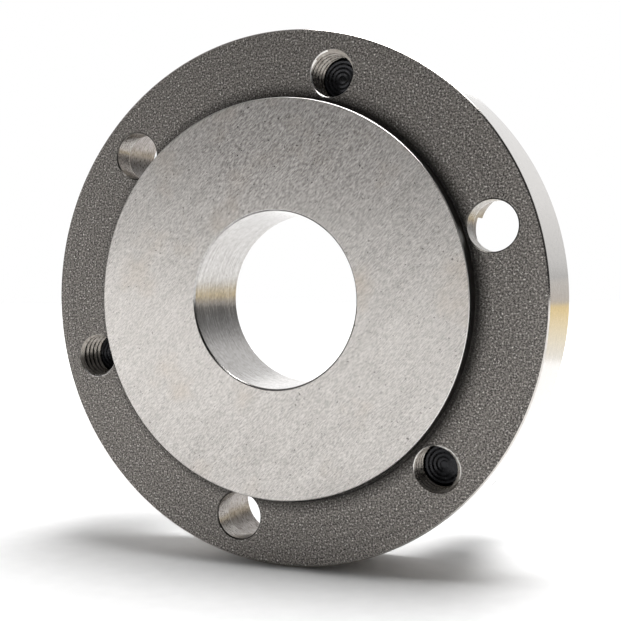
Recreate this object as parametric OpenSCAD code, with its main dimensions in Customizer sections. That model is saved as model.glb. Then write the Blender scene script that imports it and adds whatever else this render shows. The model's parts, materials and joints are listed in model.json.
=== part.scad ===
// Chuck backplate: a flange that carries a 125 mm lathe chuck on a flanged spindle nose.
// The axis lies along Y. The chuck side faces -Y, the spindle side faces +Y and +Z is up.
// The origin is on the axis, in the plane of the shoulder that the chuck is pulled against.

/* [Flange] */
// Outside diameter of the flange
flange_d = 128; // [126:1:140]
// Thickness of the flange, shoulder to back face
flange_t = 22; // [20:0.5:26]
// Chamfer on the two edges of the rim
rim_chamfer = 0.8; // [0.3:0.1:1.5]
// Chamfer that breaks the other turned edges
edge_break = 0.4; // [0.2:0.1:0.8]

/* [Chuck register] */
// Diameter of the raised register that centres the chuck
spigot_d = 95; // [90:0.5:96]
// Height of the register above the shoulder
spigot_h = 4.2; // [3:0.1:5]
// Width of the relief groove in the shoulder, round the foot of the register
relief_w = 0.8; // [0.5:0.1:1.2]
// Depth of the relief groove
relief_depth = 0.4; // [0.2:0.1:0.8]

/* [Spindle side] */
// Diameter of the recess that centres the plate on the spindle nose
recess_d = 95; // [90:0.5:95]
// Depth of the recess
recess_h = 4.2; // [3:0.1:6]
// Diameter of the bore
bore_d = 42; // [30:1:50]

/* [Chuck screw holes] */
// Diameter of the circle that the screw holes and the studs lie on
bolt_circle_d = 108; // [107:0.5:109]
// Diameter of a screw hole
screw_hole_d = 11.5; // [10.5:0.5:12]
// Diameter of the pocket for the screw's head, sunk from the back
head_pocket_d = 17; // [16:0.5:18]
// Thickness left under the screw's head
screw_land = 5.5; // [4:0.5:10]
// Angle of the first screw hole, anticlockwise from +X seen from the chuck side
screw_turn = 17.3; // [0:0.1:30]

/* [Studs] */
// Diameter of a tapped stud hole, at the root of its thread
stud_hole_d = 12; // [10:1:12]
// Angle of the first stud, anticlockwise from +X seen from the chuck side
stud_turn = 75; // [65:0.5:85]
// Length of a stud
stud_len = 45; // [40:1:60]
// Diameter of the flat at each end of a stud
stud_point_d = 8.8; // [7:0.1:9.5]
// Depth of the end of the first stud below the shoulder
first_stud_depth = 6.5; // [4:0.5:9]
// Depth of the end of the second stud below the shoulder
second_stud_depth = 7.5; // [4:0.5:9]
// Depth of the end of the third stud below the shoulder
third_stud_depth = 6.5; // [4:0.5:9]

/* [Nuts and washers] */
// Width of a nut across its flats
nut_flats = 18; // [17:1:18]
// Height of a nut
nut_h = 10; // [6:0.5:11]
// Outside diameter of a washer
washer_d = 20; // [18:0.5:20]
// Diameter of the hole in a washer
washer_hole_d = 13; // [12.5:0.5:13.5]
// Thickness of a washer
washer_t = 2; // [1.5:0.5:2.5]

/* [Hidden] */
$fn = 96;
cut = 1;                                   // how far a cutter reaches past a face
thread_gap = 0.05;                         // radial play between a stud and its thread
flange_r = flange_d / 2;
spigot_r = spigot_d / 2;
recess_r = recess_d / 2;
bore_r = bore_d / 2;
stud_r = stud_hole_d / 2 - thread_gap;
recess_floor = -flange_t + recess_h;
washer_z = -flange_t;                      // the washers lie on the back face
nut_z = washer_z - washer_t;               // and the nuts lie on the washers
nut_corner_r = nut_flats / 2 / cos(30);
nut_face_r = 0.95 * nut_flats / 2;         // radius of a nut's round bearing face
nut_bevel = (nut_corner_r - nut_face_r) * tan(30);

cast_grey = "#8b8a84";
oxide_black = "#1d1d20";

// Turns a shape built with its axis along Z, chuck side up, so that the chuck side faces -Y.
module chuck_side_forward() {
    rotate([90, 0, 0]) children();
}

// Places a shape on the bolt circle at an angle measured from +X.
module on_bolt_circle(angle) {
    rotate([0, 0, angle]) translate([bolt_circle_d / 2, 0, 0]) children();
}

// A solid of revolution between two heights, with a chamfer at each end.
module turned_bar(r, end_r, bottom, top) {
    bevel = r - end_r;
    rotate_extrude()
        polygon([[0, bottom], [end_r, bottom], [r, bottom + bevel], [r, top - bevel], [end_r, top], [0, top]]);
}

// A conical cut that breaks the edge of a hole which opens downwards at height z.
module mouth_chamfer(hole_r, z) {
    translate([0, 0, z - cut])
        cylinder(r1 = hole_r + edge_break + cut, r2 = hole_r, h = edge_break + cut);
}

module flange_blank() {
    rotate_extrude()
        polygon([
            [bore_r, recess_floor + edge_break],
            [bore_r + edge_break, recess_floor],
            [recess_r, recess_floor],
            [recess_r, -flange_t + edge_break],
            [recess_r + edge_break, -flange_t],
            [flange_r - rim_chamfer, -flange_t],
            [flange_r, -flange_t + rim_chamfer],
            [flange_r, -rim_chamfer],
            [flange_r - rim_chamfer, 0],
            [spigot_r + relief_w, 0],
            [spigot_r + relief_w, -relief_depth],
            [spigot_r, -relief_depth],
            [spigot_r, spigot_h - edge_break],
            [spigot_r - edge_break, spigot_h],
            [bore_r + edge_break, spigot_h],
            [bore_r, spigot_h - edge_break]
        ]);
}

// A plain hole for a screw that enters from the back, with a flat-bottomed pocket for its head.
module screw_hole() {
    translate([0, 0, -flange_t - cut]) cylinder(d = screw_hole_d, h = flange_t + 2 * cut);
    translate([0, 0, -flange_t - cut]) cylinder(d = head_pocket_d, h = flange_t + cut - screw_land);
}

module stud_hole() {
    translate([0, 0, -flange_t - cut]) cylinder(d = stud_hole_d, h = flange_t + 2 * cut);
    mouth_chamfer(stud_hole_d / 2, -flange_t);
}

module backplate() {
    color(cast_grey) chuck_side_forward() difference() {
        flange_blank();
        for (i = [0:2]) {
            on_bolt_circle(screw_turn + 120 * i) screw_hole();
            on_bolt_circle(stud_turn + 120 * i) stud_hole();
        }
    }
}

module stud(i, depth) {
    color(oxide_black) chuck_side_forward() on_bolt_circle(stud_turn + 120 * i)
        turned_bar(stud_r, stud_point_d / 2, -depth - stud_len, -depth);
}

module washer(i) {
    color(oxide_black) chuck_side_forward() on_bolt_circle(stud_turn + 120 * i)
        translate([0, 0, washer_z - washer_t]) difference() {
            cylinder(d = washer_d, h = washer_t);
            translate([0, 0, -cut]) cylinder(d = washer_hole_d, h = washer_t + 2 * cut);
        }
}

// A hexagon nut with one pair of flats square to the plate's radius and both ends bevelled.
module nut(i) {
    color(oxide_black) chuck_side_forward() on_bolt_circle(stud_turn + 120 * i)
        translate([0, 0, nut_z - nut_h]) difference() {
            intersection() {
                rotate([0, 0, 30]) cylinder(r = nut_corner_r, h = nut_h, $fn = 6);
                rotate_extrude()
                    polygon([[0, 0], [nut_face_r, 0], [nut_corner_r, nut_bevel],
                             [nut_corner_r, nut_h - nut_bevel], [nut_face_r, nut_h], [0, nut_h]]);
            }
            translate([0, 0, -cut]) cylinder(d = stud_hole_d, h = nut_h + 2 * cut);
            mouth_chamfer(stud_hole_d / 2, 0);
            translate([0, 0, nut_h]) mirror([0, 0, 1]) mouth_chamfer(stud_hole_d / 2, 0);
        }
}

module stud_1() { stud(0, first_stud_depth); }
module stud_2() { stud(1, second_stud_depth); }
module stud_3() { stud(2, third_stud_depth); }
module washer_1() { washer(0); }
module washer_2() { washer(1); }
module washer_3() { washer(2); }
module nut_1() { nut(0); }
module nut_2() { nut(1); }
module nut_3() { nut(2); }

backplate();
stud_1();
stud_2();
stud_3();
washer_1();
washer_2();
washer_3();
nut_1();
nut_2();
nut_3();
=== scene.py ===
"""Visual model of a lathe chuck backplate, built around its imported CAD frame."""
import json
import math

import bmesh
import bpy
from mathutils import Matrix, Vector


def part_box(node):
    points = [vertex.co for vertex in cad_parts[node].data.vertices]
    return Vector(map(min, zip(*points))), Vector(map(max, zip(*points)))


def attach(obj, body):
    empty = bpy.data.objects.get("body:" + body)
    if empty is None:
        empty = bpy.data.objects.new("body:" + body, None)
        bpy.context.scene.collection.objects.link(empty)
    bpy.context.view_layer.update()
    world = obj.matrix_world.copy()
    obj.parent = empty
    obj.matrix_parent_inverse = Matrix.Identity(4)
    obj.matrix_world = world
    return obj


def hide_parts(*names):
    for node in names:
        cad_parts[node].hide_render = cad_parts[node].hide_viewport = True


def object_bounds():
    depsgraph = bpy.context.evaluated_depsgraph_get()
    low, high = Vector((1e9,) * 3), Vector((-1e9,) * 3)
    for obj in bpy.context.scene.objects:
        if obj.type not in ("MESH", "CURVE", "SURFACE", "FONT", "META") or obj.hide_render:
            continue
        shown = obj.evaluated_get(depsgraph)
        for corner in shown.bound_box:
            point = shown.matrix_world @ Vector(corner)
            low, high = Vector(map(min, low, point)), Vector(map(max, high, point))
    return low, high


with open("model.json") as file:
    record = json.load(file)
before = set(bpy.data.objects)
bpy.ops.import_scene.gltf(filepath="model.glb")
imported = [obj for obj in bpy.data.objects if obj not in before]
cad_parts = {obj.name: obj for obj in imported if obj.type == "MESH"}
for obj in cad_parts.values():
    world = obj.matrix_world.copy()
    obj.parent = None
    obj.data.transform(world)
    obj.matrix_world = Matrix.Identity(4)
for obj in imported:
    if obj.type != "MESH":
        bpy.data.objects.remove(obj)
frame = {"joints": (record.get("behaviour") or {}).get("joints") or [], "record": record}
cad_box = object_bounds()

# ---------------------------------------------------------------- sizes, in metres
MM = 0.001
record = frame["record"]
mounts = {m["name"]: m for m in record["mounts"]}
openings = {o["name"]: o["box_m"] for o in record["physics"]["openings"]}

plate_low, plate_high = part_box("backplate")
FLANGE_R = plate_high.x
REGISTER_Y = plate_low.y                     # face of the chuck register
BACK_Y = plate_high.y                        # face on the spindle side
REGISTER_R = mounts["chuck_register"]["dims"]["r_mm"] * MM
BORE_R = mounts["centre_bore"]["dims"]["r_mm"] * MM
RECESS_R = mounts["spindle_register"]["dims"]["r_mm"] * MM
RECESS_Y = mounts["spindle_register"]["pos_m"][1] - mounts["spindle_register"]["dims"]["length_mm"] * MM / 2
SCREW_R = mounts["chuck_screws"]["dims"]["hole_r_mm"] * MM
POCKET_R = 8.5 * MM                          # head pocket at the back of a plain hole
SCREW_LAND = 5.5 * MM                        # thickness left under the screw's head

RIM_CHAMFER = 0.35 * MM                      # as the photo shows it, where the CAD has 0.8
EDGE_BREAK = 0.4 * MM                        # on the bore, the recess and the threads' open ends
REGISTER_BREAK = 0.2 * MM                    # on the register's outer edge, where the CAD has 0.4
MOUTH_BREAK = 0.3 * MM                       # at the mouths of a plain hole
TAP_BREAK = 0.2 * MM                         # at the front of a tapped hole
BURR, BURR_RISE = 0.3 * MM, 0.08 * MM        # where the land of a plain hole meets its pocket
CORNER_ROUND = 0.1 * MM                      # wear on every turned corner
GROOVE_W = 0.8 * MM                          # relief groove round the foot of the register
GROOVE_DEPTH = 0.4 * MM
FOOT_SHADE = 4 * MM                           # how far the painted shade round the register's foot reaches

PITCH = record["behaviour"]["couplings"][0]["ratio"] * 2 * math.pi
STUD_R = (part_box("stud_1")[1].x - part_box("stud_1")[0].x) / 2
STUD_POINT_R = 4.4 * MM                      # of the flat at each end of a stud
TAP_R = 6 * MM                               # radius of a tapped hole at the root of its thread
THREAD_DEPTH = 0.5413 * PITCH                # of a metric internal thread
CORE_R = TAP_R - THREAD_DEPTH                # of a tapped hole and of a nut
THREAD_PLAY = 0.07 * MM                      # between the stud's thread and the tapped one
END_RINGS = 8                                # turned rings on the end of a stud
RING_DEPTH = 0.1 * MM
WASHER_R = (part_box("washer_1")[1].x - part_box("washer_1")[0].x) / 2
WASHER_HOLE_R = 6.5 * MM
WASHER_PLAY = 0.02 * MM                      # between a washer and its nut
NUT_FLATS = 18 * MM                          # across the flats
NUT_FACE = 0.95                              # the round bearing face, as a share of the flats
NUT_BEVEL = 30                               # degrees

REACH = 1 * MM                               # how far a cutter stands past a face
CUT_SLACK = 1e-7                             # a vertex this close to a cut lies in it
FLAT_BAND = 0.01 * MM                        # a face this close to a plane lies in it
FLAT_NORMAL = 0.9                            # least share of Y in the normal of a flat face
TILTED_NORMAL = 0.2                          # and in that of an edge that turns to the front
PLATE_SIDES, NUT_SIDES, WASHER_SIDES, HOLE_SIDES = 288, 144, 96, 72    # steps round a turned shape
STUD_CREASE = 14                             # degrees: small enough to keep the rings on a stud's end

CAST_DARK, CAST_LIGHT, SPECK = (0.012, 0.011, 0.010), (0.46, 0.428, 0.396), (1.0, 0.97, 0.93)
GROUND_DARK, GROUND_LIGHT = (0.28, 0.264, 0.249), (0.73, 0.70, 0.67)
STAIN, PIT, WORN = (0.50, 0.40, 0.30), (0.05, 0.045, 0.04), (0.35, 0.34, 0.33)
HATCH_TURN = 45                              # degrees, of the scratches on the register

SOFTBOXES = (                                # azimuth, elevation, distance, (width, height), watts
    ("overhead", 128, 77, 0.85, (0.6, 0.6), 11.2),
    ("front_left", -50, 1, 0.9, (0.5, 0.3), 0.36),
    ("front_low", -20, -2.5, 0.9, (1.2, 0.05), 0.55),
    ("back_left", -150, 9, 0.9, (0.7, 0.4), 0.5),
)
FLOOR_SIZE = 6.0
FLOOR_GAP = 0.2 * MM
GLOW_FROM, GLOW_FULL = 0.2, 0.8              # where the floor starts to glow, and glows fully
GLOW = 0.8
ROOM = (                                     # the room's light, from straight down to straight up
    (0.0, 0.4), (0.5, 0.48), (0.53, 0.76), (0.6, 0.95), (0.76, 0.9), (0.92, 0.4))
ROOM_FRONT, FRONT_BAND = 0.17, (-0.3, 0.3)   # its share in front of the plate, and where that fades
ROOM_RIGHT, RIGHT_BAND = 0.15, (0.22, 0.45)  # its share on the right, and where that fades
CARD_AZIMUTH, CARD_DISTANCE, CARD_W, CARD_TOP = 158, 0.35, 0.4, 12 * MM
CARD_GLOW = (                                # cream, through gold, to a greyish pink at the top
    (0.05, (1.0, 0.97, 0.90)), (0.35, (1.0, 0.89, 0.66)), (0.66, (0.94, 0.73, 0.36)),
    (0.72, (0.58, 0.54, 0.50)), (1.0, (0.64, 0.62, 0.60)))

STUD_AXES = [Vector(j["pos_m"]) for j in frame["joints"] if j["type"] == "hinge"]
SCREW_AXES = [
    (Vector(box[0]) + Vector(box[1])) / 2
    for name, box in openings.items() if name.startswith("screw_way")
]


# ---------------------------------------------------------------- mesh tools
def new_object(name, bm):
    """A mesh object of the bmesh, which is freed."""
    bmesh.ops.recalc_face_normals(bm, faces=bm.faces)
    mesh = bpy.data.meshes.new(name)
    bm.to_mesh(mesh)
    bm.free()
    piece = bpy.data.objects.new(name, mesh)
    bpy.context.scene.collection.objects.link(piece)
    return piece


def rounded(points, radius, closed=True):
    """The outline with each corner turned into a short curve, no longer than the sides allow."""
    count = len(points)
    steps, most = 3, 0.45                    # points on a curve, and its largest share of a side
    outline = []
    for i, point in enumerate(points):
        if not closed and i in (0, count - 1):
            outline.append(point)
            continue
        corner = Vector(point)
        before = Vector(points[i - 1]) - corner
        after = Vector(points[(i + 1) % count]) - corner
        reach = min(radius, most * before.length, most * after.length)
        start = corner + before.normalized() * reach
        end = corner + after.normalized() * reach
        for k in range(steps + 1):
            t = k / steps
            outline.append(tuple(start * (1 - t) ** 2 + corner * 2 * t * (1 - t) + end * t ** 2))
    return outline


def lathe(outline, segments, closed):
    """A bmesh turned about the Y axis from (radius, y) points. An open outline gets flat ends."""
    bm = bmesh.new()
    rings = [
        [bm.verts.new((r * math.cos(a), y, r * math.sin(a)))
         for a in (2 * math.pi * i / segments for i in range(segments))]
        for r, y in outline
    ]
    pairs = list(zip(rings, rings[1:] + rings[:1])) if closed else list(zip(rings, rings[1:]))
    for low, high in pairs:
        for i in range(segments):
            j = (i + 1) % segments
            bm.faces.new((low[i], low[j], high[j], high[i]))
    if not closed:
        bm.faces.new(rings[0])
        bm.faces.new(rings[-1])
    return bm


def cut_flat(bm, y, keep_above):
    """Cuts the bmesh at height y and closes the cut."""
    side = -1 if keep_above else 1
    geom = bm.verts[:] + bm.edges[:] + bm.faces[:]
    bmesh.ops.bisect_plane(
        bm, geom=geom, dist=CUT_SLACK / 10, plane_co=(0, y, 0), plane_no=(0, side, 0), clear_outer=True)
    rim = [e for e in bm.edges if e.is_boundary and all(abs(v.co.y - y) < CUT_SLACK for v in e.verts)]
    return bmesh.ops.holes_fill(bm, edges=rim, sides=0)["faces"]


def thread(crest_r, depth, low, high):
    """A right-hand screw about Y between two heights, with flat ends. Returns it and its end faces."""
    root_r = crest_r - depth                 # the form is in shares of the pitch
    form = [(0, crest_r), (0.125, crest_r), (0.4375, root_r), (0.6875, root_r), (1, crest_r)]
    rows = []
    for (f0, r0), (f1, r1) in zip(form, form[1:]):
        parts = 3 if r0 != r1 else 1
        rows += [(f0 + (f1 - f0) * k / parts, r0 + (r1 - r0) * k / parts) for k in range(parts)]
    first = math.floor(low / PITCH) - 1
    turns = math.ceil(high / PITCH) + 2 - first
    bm = bmesh.new()
    columns = []
    for i in range(HOLE_SIDES):
        a = 2 * math.pi * i / HOLE_SIDES
        columns.append([
            bm.verts.new((r * math.cos(a), (first + turn + f - i / HOLE_SIDES) * PITCH, r * math.sin(a)))
            for turn in range(turns) for f, r in rows
        ])
    total = turns * len(rows)
    for i in range(HOLE_SIDES - 1):
        for j in range(total - 1):
            bm.faces.new((columns[i][j], columns[i][j + 1], columns[i + 1][j + 1], columns[i + 1][j]))
    for j in range(len(rows), total - 1):   # the last column meets the first one, a pitch further on
        k = j - len(rows)
        bm.faces.new((columns[-1][j], columns[-1][j + 1], columns[0][k + 1], columns[0][k]))
    bottom = cut_flat(bm, low, keep_above=True)
    top = cut_flat(bm, high, keep_above=False)
    return bm, bottom + top


def place(piece, axis):
    """Turns a piece built about the Y axis so that its X points outwards at axis, and moves it there."""
    angle = math.atan2(axis.z, axis.x)
    move = Matrix.Translation((axis.x, 0, axis.z)) @ Matrix.Rotation(-angle, 4, "Y")
    piece.data.transform(move)
    return piece


def combine(piece, operation, *others):
    """Applies one boolean with each of the others, which are then removed."""
    for other in others:
        modifier = piece.modifiers.new("boolean", "BOOLEAN")
        modifier.operation = operation
        modifier.solver = "EXACT"
        modifier.object = other
    graph = bpy.context.evaluated_depsgraph_get()
    mesh = bpy.data.meshes.new_from_object(piece.evaluated_get(graph))
    piece.modifiers.clear()
    piece.data = mesh
    for other in others:
        bpy.data.objects.remove(other)
    return piece


def smooth(piece, angle=35):
    """Smooth shading that leaves the flats flat."""
    piece.data.polygons.foreach_set("use_smooth", [True] * len(piece.data.polygons))
    piece.data.set_sharp_from_angle(angle=math.radians(angle))
    modifier = piece.modifiers.new("flats", "WEIGHTED_NORMAL")
    modifier.keep_sharp = True
    modifier.weight = 100
    return piece


# ---------------------------------------------------------------- the machined plate
def plate_blank():
    """The turned blank: flange, register on the chuck side, recess on the spindle side, bore."""
    outline = [
        (BORE_R, RECESS_Y - EDGE_BREAK), (BORE_R + EDGE_BREAK, RECESS_Y),
        (RECESS_R, RECESS_Y), (RECESS_R, BACK_Y - EDGE_BREAK), (RECESS_R + EDGE_BREAK, BACK_Y),
        (FLANGE_R - RIM_CHAMFER, BACK_Y), (FLANGE_R, BACK_Y - RIM_CHAMFER),
        (FLANGE_R, RIM_CHAMFER), (FLANGE_R - RIM_CHAMFER, 0),
        (REGISTER_R + GROOVE_W, 0), (REGISTER_R + GROOVE_W, GROOVE_DEPTH), (REGISTER_R, GROOVE_DEPTH),
        (REGISTER_R, REGISTER_Y + REGISTER_BREAK), (REGISTER_R - REGISTER_BREAK, REGISTER_Y),
        (BORE_R + EDGE_BREAK, REGISTER_Y), (BORE_R, REGISTER_Y + EDGE_BREAK),
    ]
    return new_object("plate_body", lathe(rounded(outline, CORNER_ROUND), PLATE_SIDES, closed=True))


def screw_hole_cutter():
    """A plain hole with a flat-bottomed pocket for the screw head at the back."""
    outline = [
        (SCREW_R + MOUTH_BREAK, -REACH), (SCREW_R + MOUTH_BREAK, 0), (SCREW_R, MOUTH_BREAK),
        (SCREW_R, SCREW_LAND - BURR), (SCREW_R - BURR_RISE, SCREW_LAND),
        (POCKET_R, SCREW_LAND), (POCKET_R, BACK_Y - MOUTH_BREAK),
        (POCKET_R + MOUTH_BREAK, BACK_Y), (POCKET_R + MOUTH_BREAK, BACK_Y + REACH),
    ]
    return new_object("cutter", lathe(outline, HOLE_SIDES, closed=False))


def tapped_hole_cutters(axis):
    """The screw form of a tapped hole, and the cones that open its two ends."""
    tap = new_object("cutter", thread(TAP_R, THREAD_DEPTH, -REACH / 2, BACK_Y + REACH / 2)[0])
    front = [(CORE_R + TAP_BREAK, -REACH), (CORE_R + TAP_BREAK, 0), (CORE_R, TAP_BREAK), (CORE_R, REACH)]
    back = [(CORE_R, BACK_Y - REACH - TAP_R + CORE_R), (CORE_R, BACK_Y - TAP_R + CORE_R - EDGE_BREAK),
            (TAP_R + EDGE_BREAK, BACK_Y), (TAP_R + EDGE_BREAK, BACK_Y + REACH)]
    cones = [new_object("cutter", lathe(line, HOLE_SIDES, closed=False)) for line in (front, back)]
    return [place(cutter, axis) for cutter in [tap] + cones]


def nearest(point, axes):
    """Distance from a point to the nearest of the axes, across the plate."""
    return min(math.hypot(point.x - axis.x, point.z - axis.z) for axis in axes)


def plate_surface(face):
    """Which of the plate's finishes a face of its mesh has."""
    centre = face.center
    r = math.hypot(centre.x, centre.z)
    flat = abs(face.normal.y) > FLAT_NORMAL
    in_groove = r < REGISTER_R + GROOVE_W + CORNER_ROUND and centre.y < GROOVE_DEPTH + CORNER_ROUND
    if centre.y > FLAT_BAND and not in_groove and not (flat and on_face(centre.y)):
        screw_reach = POCKET_R if centre.y > SCREW_LAND - MOUTH_BREAK else SCREW_R
        if nearest(centre, STUD_AXES) < TAP_R + EDGE_BREAK:
            return "tapped" if centre.y > TAP_BREAK else "worn_edge"
        if nearest(centre, SCREW_AXES) < screw_reach + MOUTH_BREAK:
            if centre.y < MOUTH_BREAK:
                return "register_side"
            if centre.y > SCREW_LAND - MOUTH_BREAK:
                return "pocket" if centre.y > SCREW_LAND else "worn_edge"
            return "drilled"
    if r < BORE_R + EDGE_BREAK and not flat:
        return "bored"
    if r > FLANGE_R - RIM_CHAMFER and not flat:
        return "rim"
    if centre.y < REGISTER_Y / 2 and flat:
        return "register"
    if centre.y < REGISTER_Y + EDGE_BREAK and face.normal.y < -TILTED_NORMAL:
        return "worn_edge"
    if centre.y < GROOVE_DEPTH + EDGE_BREAK:
        return "shoulder" if flat else "register_side"
    return "back"


def on_face(y):
    """True on one of the two flat faces that the small holes open through."""
    return abs(y) < FLAT_BAND or abs(y - BACK_Y) < FLAT_BAND


def build_plate():
    """The finished plate: the blank with its holes cut, and a finish on each of its faces."""
    cutters = [place(screw_hole_cutter(), axis) for axis in SCREW_AXES]
    for axis in STUD_AXES:
        cutters += tapped_hole_cutters(axis)
    plate = combine(plate_blank(), "DIFFERENCE", *cutters)
    finishes = [
        "shoulder", "register", "register_side", "rim", "bored", "drilled", "pocket", "tapped",
        "worn_edge", "back"]
    for finish in finishes:
        plate.data.materials.append(MATERIALS[finish])
    for face in plate.data.polygons:
        face.material_index = finishes.index(plate_surface(face))
    return smooth(plate)


# ---------------------------------------------------------------- studs, washers, nuts
def turn_rings(bm, end, inward):
    """Replaces a flat round end with shallow concentric grooves."""
    outer = list(end.verts)
    bm.faces.remove(end)
    first = [vert.co.copy() for vert in outer]
    for ring in range(1, END_RINGS + 1):
        share = 1 - ring / (END_RINGS + 1)
        depth = Vector((0, inward * RING_DEPTH * (ring % 2), 0))
        inner = [bm.verts.new(Vector((co.x * share, co.y, co.z * share)) + depth) for co in first]
        for i in range(len(outer)):
            bm.faces.new((outer[i - 1], outer[i], inner[i], inner[i - 1]))
        outer = inner
    bm.faces.new(outer)


def build_stud(name, axis):
    """A fully threaded stud with bevelled ends that show fine turning rings."""
    low, high = (corner.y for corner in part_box(name))
    bm, ends = thread(STUD_R, THREAD_DEPTH + THREAD_PLAY, low, high)
    for vert in bm.verts:
        r = math.hypot(vert.co.x, vert.co.z)
        limit = STUD_POINT_R + max(0, min(vert.co.y - low, high - vert.co.y))
        if r > limit:
            vert.co.x *= limit / r
            vert.co.z *= limit / r
    for end in ends:
        turn_rings(bm, end, 1 if end.verts[0].co.y < (low + high) / 2 else -1)
    piece = place(new_object(name + "_threaded", bm), axis)
    piece.data.materials.append(MATERIALS["stud"])
    return smooth(piece, STUD_CREASE)


def build_washer(name, axis):
    """A flat washer with rounded edges, a hair thinner than its node."""
    low, high = (corner.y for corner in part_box(name))
    high -= WASHER_PLAY
    outline = [(WASHER_HOLE_R, low), (WASHER_HOLE_R, high), (WASHER_R, high), (WASHER_R, low)]
    bm = lathe(rounded(outline, 2 * CORNER_ROUND), WASHER_SIDES, closed=True)
    piece = place(new_object(name + "_rounded", bm), axis)
    piece.data.materials.append(MATERIALS["washer"])
    return smooth(piece)


def build_nut(name, axis):
    """A hexagon nut: rounded corners, a bevel at both ends and a real thread."""
    low, high = (corner.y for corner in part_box(name))
    corner_r = NUT_FLATS / math.sqrt(3)
    face_r = NUT_FACE * NUT_FLATS / 2
    bevel = (corner_r - face_r) * math.tan(math.radians(NUT_BEVEL))
    corners = [(corner_r * math.cos(a), corner_r * math.sin(a))
               for a in (math.radians(30 + 60 * i) for i in range(6))]
    outline = rounded(corners, 3 * CORNER_ROUND)
    bm = bmesh.new()
    rings = [[bm.verts.new((x, y, z)) for x, z in outline] for y in (low, high)]
    count = len(outline)
    for i in range(count):
        j = (i + 1) % count
        bm.faces.new((rings[0][i], rings[0][j], rings[1][j], rings[1][i]))
    bm.faces.new(rings[0])
    bm.faces.new(rings[1])
    nut = new_object(name + "_threaded", bm)
    turned = rounded([(face_r, low), (corner_r, low + bevel), (corner_r, high - bevel), (face_r, high)],
                     CORNER_ROUND, closed=False)
    combine(nut, "INTERSECT", new_object("cutter", lathe(turned, NUT_SIDES, closed=False)))
    open_r = TAP_R + EDGE_BREAK
    mouths = [
        [(open_r + REACH, low - REACH), (CORE_R, low + open_r - CORE_R)],
        [(CORE_R, high - open_r + CORE_R), (open_r + REACH, high + REACH)],
    ]
    cones = [new_object("cutter", lathe(line, HOLE_SIDES, closed=False)) for line in mouths]
    tap = new_object("cutter", thread(TAP_R, THREAD_DEPTH, low - REACH, high + REACH)[0])
    combine(nut, "DIFFERENCE", tap, *cones)
    place(nut, axis)
    nut.data.materials.append(MATERIALS["nut"])
    return smooth(nut)


# ---------------------------------------------------------------- materials
class Nodes:
    """Short calls for building one node tree, of a material or of the world."""

    def __init__(self, owner):
        owner.use_nodes = True
        self.tree = owner.node_tree

    def add(self, kind, **settings):
        node = self.tree.nodes.new(kind)
        for key, value in settings.items():
            setattr(node, key, value)
        return node

    def link(self, start, end):
        self.tree.links.new(start, end)

    def math(self, operation, *values):
        """The result of one operation on numbers and on values of the tree."""
        node = self.add("ShaderNodeMath", operation=operation)
        for socket, value in zip(node.inputs, values):
            if isinstance(value, (int, float)):
                socket.default_value = value
            else:
                self.link(value, socket)
        return node.outputs[0]

    def split(self, vector):
        """The outputs X, Y and Z of a vector."""
        node = self.add("ShaderNodeSeparateXYZ")
        self.link(vector, node.inputs[0])
        return node.outputs

    def scaled(self, vector, scale):
        """A vector times one number, or times a value of the tree."""
        node = self.add("ShaderNodeVectorMath", operation="SCALE")
        self.link(vector, node.inputs[0])
        if isinstance(scale, (int, float)):
            node.inputs["Scale"].default_value = scale
        else:
            self.link(scale, node.inputs["Scale"])
        return node.outputs[0]

    def span(self, value, start, end, first=0.0, last=1.0, curve="LINEAR"):
        """Runs from first to last while the value runs from start to end."""
        node = self.add("ShaderNodeMapRange", interpolation_type=curve)
        for name, number in (("From Min", start), ("From Max", end), ("To Min", first), ("To Max", last)):
            node.inputs[name].default_value = number
        self.link(value, node.inputs["Value"])
        return node.outputs["Result"]

    def ramp(self, value, *stops):
        """A colour ramp through (position, grey or colour) stops."""
        node = self.add("ShaderNodeValToRGB")
        elements = node.color_ramp.elements
        while len(elements) < len(stops):
            elements.new(0.5)
        for element, (position, colour) in zip(elements, stops):
            element.position = position
            element.color = (colour, colour, colour, 1) if isinstance(colour, (int, float)) else (*colour, 1)
        self.link(value, node.inputs["Fac"])
        return node.outputs["Color"]

    def mix(self, share, first, second):
        """Goes from the first colour to the second as the share rises."""
        node = self.add("ShaderNodeMix", data_type="RGBA")
        for socket, value in ((node.inputs[0], share), (node.inputs[6], first), (node.inputs[7], second)):
            if isinstance(value, (int, float)):
                socket.default_value = value
            elif isinstance(value, tuple):
                socket.default_value = (*value, 1)
            else:
                self.link(value, socket)
        return node.outputs[2]


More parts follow.
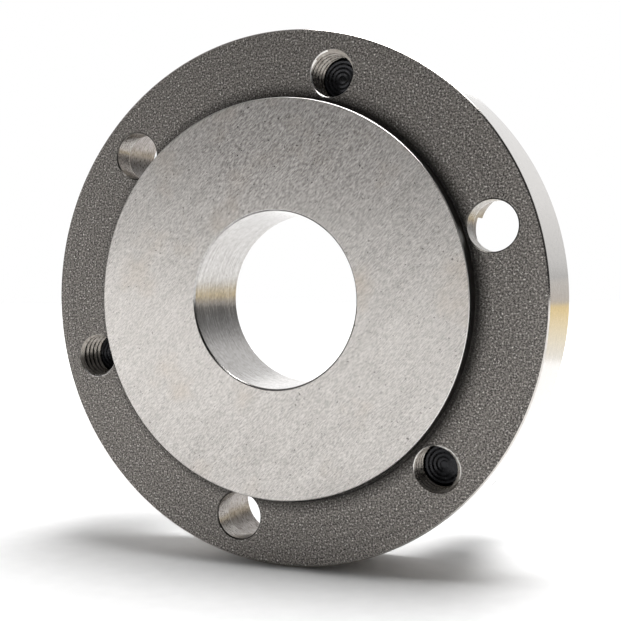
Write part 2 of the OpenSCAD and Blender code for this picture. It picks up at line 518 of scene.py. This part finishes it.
class Surface(Nodes):
    """The node tree of one material. Lengths in it are millimetres."""

    def __init__(self, name):
        self.material = bpy.data.materials.new(name)
        super().__init__(self.material)
        self.shader = self.tree.nodes["Principled BSDF"]
        self.place = self.scaled(self.add("ShaderNodeTexCoord").outputs["Object"], 1 / MM)

    def stretched(self, scale, turn):
        """The place, turned about Y by an angle in degrees and then scaled along each axis."""
        turned = self.add("ShaderNodeVectorRotate", rotation_type="Y_AXIS")
        turned.inputs["Angle"].default_value = math.radians(turn)
        self.link(self.place, turned.inputs["Vector"])
        scaled = self.add("ShaderNodeVectorMath", operation="MULTIPLY")
        scaled.inputs[1].default_value = scale
        self.link(turned.outputs[0], scaled.inputs[0])
        return scaled.outputs[0]

    def noise(self, vector, scale, detail, w=None):
        """Noise of a grain about 1 / scale millimetres wide."""
        node = self.add("ShaderNodeTexNoise", noise_dimensions="4D" if w is not None else "3D")
        node.inputs["Scale"].default_value = scale
        node.inputs["Detail"].default_value = detail
        self.link(vector, node.inputs["Vector"])
        if w is not None:
            self.link(w, node.inputs["W"])
        return node.outputs["Fac"]

    def radius(self):
        """The place with its Y taken out, and its distance from the plate's axis."""
        across = self.add("ShaderNodeVectorMath", operation="MULTIPLY")
        across.inputs[1].default_value = (1, 0, 1)
        self.link(self.place, across.inputs[0])
        length = self.add("ShaderNodeVectorMath", operation="LENGTH")
        self.link(across.outputs[0], length.inputs[0])
        return across.outputs[0], length.outputs["Value"]

    def turned(self, spacing):
        """Noise in fine lines that run round the plate's axis, on faces and on walls alike."""
        wander = 1.5
        across, radius = self.radius()
        heading = self.add("ShaderNodeVectorMath", operation="NORMALIZE")
        self.link(across, heading.inputs[0])
        parts = self.split(heading.outputs[0])
        vector = self.add("ShaderNodeCombineXYZ")
        self.link(self.math("MULTIPLY", parts["X"], wander), vector.inputs["X"])
        self.link(self.math("MULTIPLY", parts["Z"], wander), vector.inputs["Y"])
        self.link(self.math("DIVIDE", self.split(self.place)["Y"], spacing), vector.inputs["Z"])
        return self.noise(vector.outputs[0], 1.0, 2.0, w=self.math("DIVIDE", radius, spacing))

    def finish(self, colour, rough, height, bump, metallic=1.0, distance=0.05, **sockets):
        """Sets the shader. The bump's distance is in millimetres."""
        self.link(colour, self.shader.inputs["Base Color"])
        self.link(rough, self.shader.inputs["Roughness"])
        self.shader.inputs["Metallic"].default_value = metallic
        for name, value in sockets.items():
            self.shader.inputs[name.replace("_", " ")].default_value = value
        node = self.add("ShaderNodeBump")
        node.inputs["Strength"].default_value = bump
        node.inputs["Distance"].default_value = distance * MM
        self.link(height, node.inputs["Height"])
        self.link(node.outputs["Normal"], self.shader.inputs["Normal"])
        return self.material


def cast_face(name):
    """The shoulder: machined cast iron, dark and dull, with fine grains that catch the light, and painted
    shade round the register's foot.
    """
    n = Surface(name)
    grain = n.noise(n.place, 2.3, 3)
    fine = n.noise(n.place, 4.3, 2)
    lines = n.turned(0.35)
    tone = n.mix(0.4, n.ramp(grain, (0.42, 0.0), (0.63, 1.0)), n.ramp(fine, (0.40, 0.0), (0.64, 1.0)))
    tone = n.mix(0.1, tone, n.ramp(lines, (0.35, 0.0), (0.65, 1.0)))
    colour = n.mix(tone, CAST_DARK, CAST_LIGHT)
    specks = n.ramp(n.noise(n.place, 2.3, 2), (0.64, 0.0), (0.72, 0.9))
    colour = n.mix(specks, colour, SPECK)
    # painted shade: the shoulder darkens towards the register's foot, where the register blocks the light
    foot = n.math("DIVIDE", n.math("SUBTRACT", n.radius()[1], REGISTER_R / MM), FOOT_SHADE / MM)
    colour = n.mix(n.ramp(foot, (0.2, 0.8), (1.0, 0.0)), colour, CAST_DARK)
    rough = n.ramp(fine, (0.35, 0.42), (0.65, 0.6))
    return n.finish(colour, rough, n.mix(0.5, grain, fine), 0.6, metallic=0.8, distance=0.06)


def ground_face(name):
    """The register's face: surface ground, with a slanting scratch grain, pits and faint stains."""
    n = Surface(name)
    hatch = n.noise(n.stretched((0.9, 1, 3.6), turn=HATCH_TURN), 1.0, 2)
    fine = n.noise(n.stretched((1.8, 1, 6.5), turn=HATCH_TURN), 1.0, 2)
    broad = n.noise(n.stretched((0.06, 1, 0.5), turn=HATCH_TURN), 1.0, 3)
    tone = n.mix(0.4, n.ramp(hatch, (0.34, 0.0), (0.66, 1.0)), n.ramp(fine, (0.34, 0.0), (0.66, 1.0)))
    tone = n.mix(0.15, tone, n.ramp(broad, (0.3, 0.0), (0.7, 1.0)))
    colour = n.mix(tone, GROUND_DARK, GROUND_LIGHT)
    stain = n.ramp(n.noise(n.place, 0.07, 3), (0.56, 0.0), (0.75, 0.3))
    colour = n.mix(stain, colour, STAIN)
    pits = n.ramp(n.noise(n.place, 1.3, 2), (0.685, 0.0), (0.75, 0.75))
    colour = n.mix(pits, colour, PIT)
    rough = n.ramp(hatch, (0.3, 0.28), (0.7, 0.4))
    return n.finish(colour, rough, n.mix(pits, hatch, (0.0, 0.0, 0.0)), 0.3)


def turned_face(name, dark, light, spacing, rough, bump=0.4):
    """A lathe-turned surface: fine lines round the axis, with a little mottling and a few pits."""
    n = Surface(name)
    lines = n.turned(spacing)
    grain = n.noise(n.place, 1.1, 4)
    tone = n.mix(0.35, n.ramp(lines, (0.28, 0.0), (0.72, 1.0)), n.ramp(grain, (0.3, 0.0), (0.7, 1.0)))
    colour = n.mix(tone, dark, light)
    pits = n.ramp(n.noise(n.place, 1.9, 2), (0.7, 0.0), (0.76, 0.7))
    colour = n.mix(pits, colour, PIT)
    shine = n.ramp(lines, (0.3, rough - 0.06), (0.7, rough + 0.08))
    return n.finish(colour, shine, n.mix(0.25, lines, grain), bump)


def black_oxide(name, base, rub, rough):
    """Oil-blacked steel: near black, worn to metal in small patches, slightly mottled."""
    n = Surface(name)
    cloud = n.noise(n.place, 0.45, 4)
    fine = n.noise(n.place, 3.0, 3)
    colour = n.mix(n.ramp(cloud, (0.35, 0.0), (0.7, 1.0)), base, tuple(1.8 * c for c in base))
    colour = n.mix(n.ramp(fine, (0.68, 0.0), (0.78, rub)), colour, WORN)
    shine = n.ramp(cloud, (0.3, rough - 0.08), (0.7, rough + 0.1))
    return n.finish(colour, shine, fine, 0.25, metallic=0.6)


MATERIALS = {
    "shoulder": cast_face("cast_face"),
    "register": ground_face("ground_face"),
    "register_side": turned_face("register_side", (0.03, 0.028, 0.024), (0.16, 0.152, 0.14), 0.5, 0.34),
    "rim": turned_face("turned_rim", (0.50, 0.475, 0.45), (0.72, 0.685, 0.65), 0.16, 0.12, bump=0.2),
    "bored": turned_face("bored_wall", (0.24, 0.225, 0.205), (0.70, 0.685, 0.68), 0.2, 0.2),
    "drilled": turned_face("drilled_wall", (0.13, 0.115, 0.10), (0.62, 0.59, 0.56), 0.3, 0.28),
    "pocket": turned_face("pocket_wall", (0.12, 0.10, 0.085), (0.52, 0.49, 0.47), 0.4, 0.32),
    "worn_edge": turned_face("worn_edge", (0.62, 0.60, 0.57), (0.92, 0.90, 0.87), 0.3, 0.3, bump=0.2),
    "tapped": turned_face("tapped_wall", (0.14, 0.12, 0.10), (0.50, 0.47, 0.43), 0.5, 0.26),
    "back": turned_face("turned_back", (0.36, 0.35, 0.34), (0.54, 0.53, 0.51), 0.2, 0.34),
    "stud": black_oxide("black_stud", (0.012, 0.012, 0.014), 0.4, 0.26),
    "washer": black_oxide("black_washer", (0.022, 0.022, 0.024), 0.4, 0.4),
    "nut": black_oxide("black_nut", (0.02, 0.02, 0.022), 0.45, 0.36),
}


# ---------------------------------------------------------------- build and ride
def carry(piece, node, body):
    """Puts a piece on its body, in the place of its CAD node."""
    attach(piece, body)
    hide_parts(node)


carry(build_plate(), "backplate", "plate")
for i, axis in enumerate(STUD_AXES, start=1):
    carry(build_stud(f"stud_{i}", axis), f"stud_{i}", "plate")
    carry(build_washer(f"washer_{i}", axis), f"washer_{i}", f"washer_{i}")
    carry(build_nut(f"nut_{i}", axis), f"nut_{i}", f"nut_{i}")


# ---------------------------------------------------------------- studio
scene = bpy.context.scene
scene.view_settings.view_transform = "Standard"


def heading(azimuth, elevation):
    """The unit vector towards an azimuth, 0 in front and positive to the right, and an elevation."""
    a, e = math.radians(azimuth), math.radians(elevation)
    return Vector((math.sin(a) * math.cos(e), -math.cos(a) * math.cos(e), math.sin(e)))


def softbox(name, azimuth, elevation, distance, size, power):
    """A rectangular light that faces the plate from a heading."""
    data = bpy.data.lights.new(name, "AREA")
    data.shape = "RECTANGLE"
    data.size, data.size_y = size
    data.energy = power
    light = bpy.data.objects.new(name, data)
    light.location = heading(azimuth, elevation) * distance
    light.rotation_euler = heading(azimuth, elevation).to_track_quat("Z", "Y").to_euler()
    light.visible_camera = False
    scene.collection.objects.link(light)


for softbox_settings in SOFTBOXES:
    softbox(*softbox_settings)


def build_card():
    """A warm reflector card low behind the plate, which shows only in its reflections."""
    bm = bmesh.new()
    low, high = (-CARD_W / 2, cad_box[0].z), (CARD_W / 2, CARD_TOP)
    corners = (low, (high[0], low[1]), high, (low[0], high[1]))
    bm.faces.new([bm.verts.new((x, 0, z)) for x, z in corners])
    card = new_object("card", bm)
    card.location = heading(CARD_AZIMUTH, 0) * CARD_DISTANCE
    card.rotation_euler.z = math.radians(CARD_AZIMUTH)
    card.visible_camera = card.visible_shadow = card.visible_diffuse = False
    n = Surface("card_paper")
    share = n.span(n.split(n.place)["Z"], cad_box[0].z / MM, CARD_TOP / MM)
    fibre = n.noise(n.place, 0.1, 3)
    n.finish(n.ramp(fibre, (0.3, 0.02), (0.7, 0.03)), n.ramp(fibre, (0.3, 0.85), (0.7, 0.95)),
             fibre, 0.05, metallic=0.0, Emission_Strength=1.0)
    n.link(n.ramp(share, *CARD_GLOW), n.shader.inputs["Emission Color"])
    card.data.materials.append(n.material)


build_card()


def build_floor():
    """A sheet of white paper that runs on into a lit backdrop."""
    bm = bmesh.new()
    bmesh.ops.create_grid(bm, x_segments=8, y_segments=8, size=FLOOR_SIZE / 2)
    floor = new_object("floor", bm)
    floor.location.z = cad_box[0].z - FLOOR_GAP
    n = Surface("paper")
    fibre = n.noise(n.place, 0.2, 5)
    n.finish(n.ramp(fibre, (0.3, 0.9), (0.7, 0.93)), n.ramp(fibre, (0.3, 0.85), (0.7, 0.95)),
             fibre, 0.05, metallic=0.0, Emission_Color=(1, 1, 1, 1))
    away = n.add("ShaderNodeVectorMath", operation="LENGTH")
    n.link(n.place, away.inputs[0])
    glow = n.span(away.outputs["Value"], GLOW_FROM / MM, GLOW_FULL / MM, last=GLOW, curve="SMOOTHSTEP")
    n.link(glow, n.shader.inputs["Emission Strength"])
    floor.data.materials.append(n.material)


build_floor()


def build_room():
    """Light from all round, dimmer in front and on the right. The camera itself sees plain white."""
    scene.world = bpy.data.worlds.new("studio")
    n = Nodes(scene.world)
    direction = n.split(n.add("ShaderNodeTexCoord").outputs["Generated"])
    light = n.ramp(n.span(direction["Z"], -1, 1), *ROOM)
    front = n.span(direction["Y"], *FRONT_BAND, first=ROOM_FRONT)
    side = n.span(direction["X"], *RIGHT_BAND, first=1, last=ROOM_RIGHT)
    dimmed = n.scaled(light, n.math("MULTIPLY", front, side))
    seen = n.mix(n.add("ShaderNodeLightPath").outputs["Is Camera Ray"], dimmed, (1, 1, 1))
    n.link(seen, n.tree.nodes["Background"].inputs["Color"])


build_room()

CAMERA_AZIMUTH, CAMERA_ELEVATION, CAMERA_ROLL = 25.04, 1.45, -0.676
CAMERA_DISTANCE = 262.4 * MM
CAMERA_RIGHT, CAMERA_UP = 1.37 * MM, -2.55 * MM
CAMERA_LENS, CAMERA_SENSOR = 63.68, 36       # millimetres
CAMERA_SHIFT = 0.0398
CAMERA_NEAR = 10 * MM


def build_camera():
    """The photo's camera: aimed along a heading past the origin, rolled and set off a little."""
    data = bpy.data.cameras.new("camera")
    data.lens, data.sensor_width = CAMERA_LENS, CAMERA_SENSOR
    data.shift_x = CAMERA_SHIFT
    data.clip_start = CAMERA_NEAR
    camera = bpy.data.objects.new("camera", data)
    scene.collection.objects.link(camera)
    scene.camera = camera
    back = heading(CAMERA_AZIMUTH, CAMERA_ELEVATION)
    right = Vector((0, 0, 1)).cross(back).normalized()
    right.rotate(Matrix.Rotation(math.radians(-CAMERA_ROLL), 3, -back))
    up = back.cross(right)
    camera.matrix_world = Matrix((
        (right.x, up.x, back.x, 0), (right.y, up.y, back.y, 0), (right.z, up.z, back.z, 0), (0, 0, 0, 1)))
    camera.location = back * CAMERA_DISTANCE + right * CAMERA_RIGHT + up * CAMERA_UP


build_camera()
